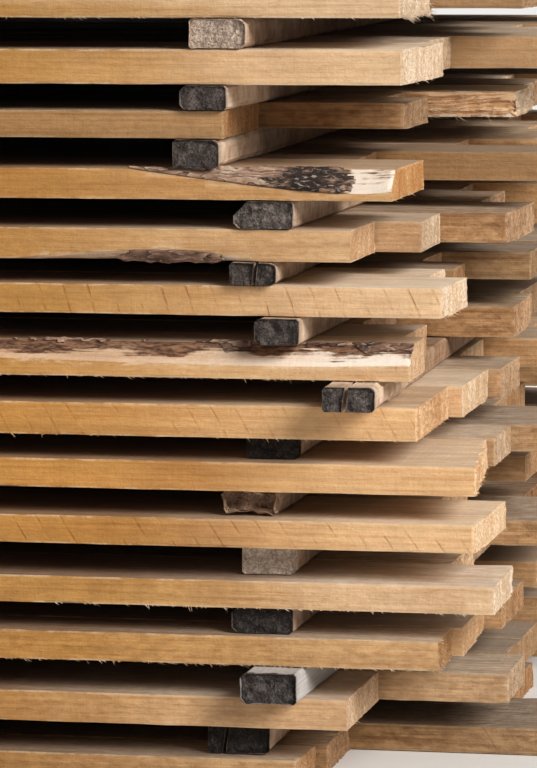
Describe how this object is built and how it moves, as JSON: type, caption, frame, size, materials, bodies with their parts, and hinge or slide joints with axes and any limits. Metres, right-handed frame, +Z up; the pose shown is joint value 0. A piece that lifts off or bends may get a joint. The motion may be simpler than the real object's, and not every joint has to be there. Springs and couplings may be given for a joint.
{
  "type": "stack of lumber",
  "caption": "Open-air drying stack of rough sawn softwood boards, laid in courses with square wooden stickers between them; some edges still carry bark.",
  "frame": {"origin": "middle of the stack's underside, on the ground", "axes": "+X along the boards towards their uneven ends, +Y into the stack from its front, +Z up"},
  "size_m": [3.2708, 1.2178, 0.7229],
  "materials": {
    "sawn_board": "matte",
    "sticker": "matte"
  },
  "bodies": {
    "root": {"board_course_01": "sawn_board", "board_course_02": "sawn_board", "board_course_03": "sawn_board", "board_course_04": "sawn_board", "board_course_05": "sawn_board", "board_course_06": "sawn_board", "board_course_07": "sawn_board", "board_course_08": "sawn_board", "board_course_09": "sawn_board", "board_course_10": "sawn_board", "board_course_11": "sawn_board", "board_course_12": "sawn_board", "board_course_13": "sawn_board", "board_course_14": "sawn_board", "sticker_column_1": "sticker", "sticker_column_2": "sticker", "sticker_column_3": "sticker", "sticker_column_4": "sticker", "sticker_column_5": "sticker", "sticker_column_6": "sticker"}
  },
  "joints": []
}
